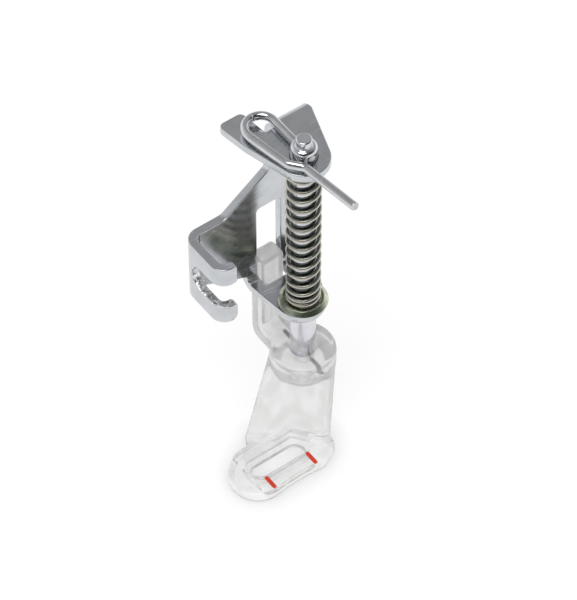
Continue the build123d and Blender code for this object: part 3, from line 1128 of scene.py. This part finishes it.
@dataclass
class ClearFoot:
    """Clear moulded foot with its two painted needle marks."""

    grain: float = 0.13
    softening: int = 26
    soft_factor: float = 0.5
    mark_width: float = 0.65
    mark_gap: float = 0.03
    mark_rise: float = 0.03
    mark_power: float = 0.35
    mark_around: int = 40
    mark_rows: int = 33

    def build(self, node: Piece) -> Piece:
        """Welds the moulding's solid and rounds its edges.

        Args:
            node: the foot's CAD node.

        Returns:
            The foot's piece.
        """
        piece = merged_copy(node, "clear_foot")
        even = piece.modifiers.new("even_mesh", "REMESH")
        even.mode = "VOXEL"
        even.voxel_size = self.grain * MM
        even.use_smooth_shade = True
        soft = piece.modifiers.new("moulded_edges", "SMOOTH")
        soft.factor = self.soft_factor
        soft.iterations = self.softening
        return piece

    def mark(self, name: str, low: Vector, high: Vector) -> Piece:
        """One painted bar: a superellipse section carried along the groove and closed at both ends.

        Args:
            name: name of the piece.
            low: lowest corner of the groove in metres.
            high: highest corner of the groove in metres.

        Returns:
            The bar's piece.
        """
        centre = (np.array(low) + np.array(high)) / 2 / MM
        half = (np.array(high) - np.array(low)) / 2 / MM - self.mark_gap
        angle = np.linspace(0.0, 2 * math.pi, self.mark_around, endpoint=False)
        across = signed_power(np.cos(angle), self.mark_power) * half[0]
        rise = signed_power(np.sin(angle), self.mark_power) * half[2]
        bow = np.linspace(-math.pi / 2, math.pi / 2, self.mark_rows)
        along = signed_power(np.sin(bow), self.mark_power) * half[1]
        size = np.abs(np.cos(bow)) ** self.mark_power
        size[[0, -1]] = 0.0
        x = centre[0] + size[:, None] * across
        y = np.broadcast_to(centre[1] + along[:, None], x.shape)
        z = centre[2] + self.mark_rise + size[:, None] * rise
        return ring_surface(name, np.stack([x, y, z], axis=-1), Ends.CLOSED)

    def build_marks(self) -> list[Piece]:
        """Fills the left and right grooves of the sole with paint.

        Returns:
            The two painted bars.
        """
        low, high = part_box("needle_marks")
        width = self.mark_width * MM
        left = self.mark("needle_mark_left", low, Vector((low.x + width, high.y, high.z)))
        right = self.mark("needle_mark_right", Vector((high.x - width, low.y, low.z)), high)
        return [left, right]


# Studio


@dataclass
class Studio:
    """White floor, one soft lamp and a grey sky that the metal reflects.

    The floor has a lit white and a glow of its own: as seen, as mirrored and through the plastic.
    The sky's levels are named for where they lie, seen from the camera, and each range says where
    a level starts and where it is full. The lamp is in metres.
    """

    floor_half: float = 1.6
    white: float = 0.8
    # Reach in mm and depth of the painted contact shadow on the floor.
    painted_contact_reach: float = 3.5
    painted_contact_depth: float = 0.5
    seen: Span = (0.22, 0.78)
    mirrored: Span = (0.38, 0.5)
    through: Span = (0.1, 0.74)
    sky_near: float = 0.04
    near_tint: Colour = (0.8, 1.0, 0.86)
    untinted: float = 0.25
    sky_far: float = 0.35
    far_range: Span = (-0.25, 0.6)
    sky_left: float = 0.48
    left_range: Span = (0.15, 0.9)
    sky_low: float = 0.44
    low_range: Span = (0.0, 0.35)
    sky_right: float = 0.48
    right_range: Span = (0.1, 0.6)
    right_height: Span = (0.2, 0.6)
    sky_through: float = 0.7
    sky_soft: float = 0.32
    sky_front: float = 1.5
    front_range: Span = (-0.2, 0.8)
    lamp_place: Point = (-0.1, -0.03, 0.5)
    lamp_target: Point = (0.008, -0.005, -0.005)
    lamp_size: float = 0.28
    lamp_power: float = 0.85

    def floor(self, level: float) -> None:
        """Floor plane: mostly its own white, which ambient occlusion darkens near the part as a painted
        contact shadow, and a share of lit white that keeps the shadow.

        Args:
            level: height of the floor in metres.
        """
        half = self.floor_half
        corners = [(-half, -half, level), (half, -half, level), (half, half, level), (-half, half, level)]
        mesh = bpy.data.meshes.new("floor")
        mesh.from_pydata(corners, [], [(0, 1, 2, 3)])
        piece = link_object("floor", mesh)
        material = bpy.data.materials.new("white_floor")
        material.use_nodes = True
        tree = material.node_tree
        tree.nodes.clear()
        path = add_node(tree, "ShaderNodeLightPath")
        through = path.outputs["Is Transmission Ray"]
        mirrored = calc(tree, "GREATER_THAN", path.outputs["Is Glossy Ray"], through)
        # Painted contact shadow: ambient occlusion darkens the floor's own white near the part, as the
        # camera sees it.
        near = add_node(tree, "ShaderNodeAmbientOcclusion", {"Distance": self.painted_contact_reach * MM})
        shaded = 1.0 - self.painted_contact_depth
        open_share = calc(tree, "MULTIPLY_ADD", near.outputs["AO"], self.painted_contact_depth, shaded)
        white_seen, glow_seen = self.seen
        seen = (white_seen, calc(tree, "MULTIPLY", open_share, glow_seen))
        rays = ((path.outputs["Is Camera Ray"], seen), (mirrored, self.mirrored), (through, self.through))
        own: Value = 0.0
        white: Value = self.white
        for kind, (white_share, glow_share) in rays:
            own = calc(tree, "MULTIPLY_ADD", kind, glow_share, own)
            white = calc(tree, "MULTIPLY_ADD", kind, white_share - self.white, white)
        lit = add_node(tree, "ShaderNodeBsdfDiffuse", {"Color": white})
        glow = add_node(tree, "ShaderNodeEmission", {"Strength": own})
        both = add_node(tree, "ShaderNodeAddShader", {0: lit.outputs["BSDF"], 1: glow.outputs["Emission"]})
        add_node(tree, "ShaderNodeOutputMaterial", {"Surface": both.outputs["Shader"]})
        piece.data.materials.append(material)
        piece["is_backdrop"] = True

    def sky_level(self, tree: Tree) -> Socket:
        """Level of the sky in each direction, and what each kind of ray sees of it.

        The near sky's level rises by smooth steps to the far side, to the left, to the horizon and
        low down to the right. Diffuse rays find a brighter front, rays through the plastic an even
        level, and the camera white.

        Args:
            tree: the world's tree.

        Returns:
            The level.
        """
        axes = split_axes(tree, add_node(tree, "ShaderNodeTexCoord").outputs["Generated"])
        turn = math.radians(VIEW_TURN)
        far = calc(tree, "MULTIPLY", axes["X"], -math.sin(turn))
        far = calc(tree, "MULTIPLY_ADD", axes["Y"], math.cos(turn), far)
        left = calc(tree, "MULTIPLY", axes["X"], -math.cos(turn))
        left = calc(tree, "MULTIPLY_ADD", axes["Y"], -math.sin(turn), left)
        front = ramp(tree, calc(tree, "MULTIPLY", far, -1.0), *self.front_range)
        right = ramp(tree, calc(tree, "MULTIPLY", left, -1.0), *self.right_range)
        low = calc(tree, "SUBTRACT", 1.0, ramp(tree, axes["Z"], *self.low_range))
        lower = calc(tree, "SUBTRACT", 1.0, ramp(tree, axes["Z"], *self.right_height))
        level: Value = self.sky_near
        for share, height in (
            (ramp(tree, far, *self.far_range), self.sky_far),
            (ramp(tree, left, *self.left_range), self.sky_left),
            (low, self.sky_low),
            (calc(tree, "MULTIPLY", lower, right), self.sky_right),
        ):
            level = calc(tree, "MULTIPLY_ADD", share, height, level)
        path = add_node(tree, "ShaderNodeLightPath")
        through = calc(tree, "MULTIPLY", path.outputs["Is Transmission Ray"], self.sky_through)
        soft = calc(tree, "MULTIPLY_ADD", front, self.sky_front, self.sky_soft)
        soft = calc(tree, "MULTIPLY", path.outputs["Is Diffuse Ray"], soft)
        for least in (calc(tree, "MAXIMUM", through, soft), path.outputs["Is Camera Ray"]):
            level = calc(tree, "MAXIMUM", level, least)
        return level

    def world(self) -> None:
        """Sky that is white to the camera and has its levels, tinted where darkest, for other rays."""
        world = bpy.data.worlds.new("studio")
        bpy.context.scene.world = world
        world.use_nodes = True
        tree = world.node_tree
        tree.nodes.clear()
        level = self.sky_level(tree)
        plain = ramp(tree, level, self.sky_near, self.untinted)
        colour = blend(tree, plain, self.near_tint, (1.0, 1.0, 1.0))
        sky = add_node(tree, "ShaderNodeBackground", {"Color": colour, "Strength": level})
        add_node(tree, "ShaderNodeOutputWorld", {"Surface": sky.outputs["Background"]})

    def lamp(self) -> None:
        """Square soft lamp overhead that faces the part."""
        light = bpy.data.lights.new("overhead", "AREA")
        light.size = self.lamp_size
        light.energy = self.lamp_power
        lamp = link_object("overhead", light)
        lamp.location = self.lamp_place
        away = Vector(self.lamp_place) - Vector(self.lamp_target)
        lamp.rotation_euler = away.to_track_quat("Z", "Y").to_euler()


@dataclass
class ViewCamera:
    """Long-lens camera at the photograph's angle, fitted to the plunger's washer."""

    azimuth: float = VIEW_TURN
    elevation: float = 50.6
    focal_px: float = 3300.0
    px_per_mm: float = 7.4
    anchor: Point = (*PLUNGER_AXIS, -8.8)
    anchor_px: Span = (303.2, 296.1)
    clip_start: float = 0.01

    def place(self) -> None:
        """Stands the camera where the anchor falls on its pixel at the fitted scale."""
        turn = math.radians(self.azimuth)
        rise = math.radians(self.elevation)
        right = Vector((math.cos(turn), math.sin(turn), 0.0))
        back = Vector((math.sin(turn) * math.cos(rise), -math.cos(turn) * math.cos(rise), math.sin(rise)))
        up = back.cross(right)
        depth = self.focal_px / self.px_per_mm
        across = (self.anchor_px[0] - FRAME_W / 2) / self.focal_px
        above = (FRAME_H / 2 - self.anchor_px[1]) / self.focal_px
        eye = Vector(self.anchor) + depth * (back - across * right - above * up)
        lens = bpy.data.cameras.new("photo_view")
        lens.sensor_width = SENSOR_MM
        lens.lens = self.focal_px * SENSOR_MM / FRAME_H
        lens.clip_start = self.clip_start
        camera = link_object("photo_view", lens)
        turned = Matrix((right, up, back)).transposed()
        camera.matrix_world = Matrix.Translation(eye * MM) @ turned.to_4x4()
        bpy.context.scene.camera = camera


# Assembly


@dataclass
class PresserFoot:
    """The whole foot: builds each piece, dresses it and sets it on its body."""

    nodes: dict[str, Piece]
    effects: Effects

    def dress(self, piece: Piece, finish: Finish) -> None:
        """Gives a piece one finish, whose material is built once.

        Args:
            piece: the piece.
            finish: finish that it gets.
        """
        material = bpy.data.materials.get(finish.name) or finish.material(self.effects)
        piece.data.materials.clear()
        piece.data.materials.append(material)

    def settle(self, piece: Piece, body: Body, node: str, finish: Finish) -> None:
        """Dresses a new piece, sets it on its body and lets it stand for its CAD node.

        Args:
            piece: the new piece.
            body: body that it rides on.
            node: CAD node that it stands for.
            finish: finish that it gets.
        """
        self.dress(piece, finish)
        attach(piece, body.value)
        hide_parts(node)
        LOG.info("%s stands for %s on %s", piece.name, node, body.value)

    def keep(self, node: str, finish: Finish) -> None:
        """Keeps a CAD node and gives it a finish."""
        self.dress(self.nodes[node], finish)
        LOG.info("%s keeps its solid", node)

    def build(self) -> None:
        """Builds the pieces from the bracket down to the sole."""
        bracket = Bracket().build(self.nodes["bracket"])
        self.settle(bracket, Body.BRACKET, "bracket", PLATED_SHEET)
        self.settle(Plunger().build(), Body.PLUNGER, "plunger_shaft", GROUND_SHAFT)
        self.settle(LiftLever().build(), Body.PLUNGER, "lift_lever", POLISHED_WIRE)
        self.settle(SpringWasher().build(), Body.PLUNGER, "spring_washer", PASSIVATED)
        coil = CoilSpring()
        spring = coil.build()
        self.settle(spring, Body.BRACKET, "spring", DRAWN_WIRE)
        coil.fit(spring)
        clear = ClearFoot()
        self.settle(clear.build(self.nodes["foot"]), Body.PLUNGER, "foot", CLEAR_MOULDING)
        for bar in clear.build_marks():
            self.settle(bar, Body.PLUNGER, "needle_marks", RED_PAINT)
        self.keep("retaining_clip", DARK_STEEL)
        self.keep("cross_pin", DARK_STEEL)


def main() -> None:
    """Loads the frame, builds and dresses the foot, and sets up the studio and camera."""
    logging.basicConfig(level=logging.INFO, format="%(name)s: %(message)s")
    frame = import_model()
    solid_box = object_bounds()
    PresserFoot(frame["nodes"], Effects.build()).build()
    studio = Studio()
    studio.floor(solid_box[0].z)
    studio.world()
    studio.lamp()
    ViewCamera().place()
    bpy.context.scene.view_settings.view_transform = "Standard"


if __name__ == "__main__":
    main()
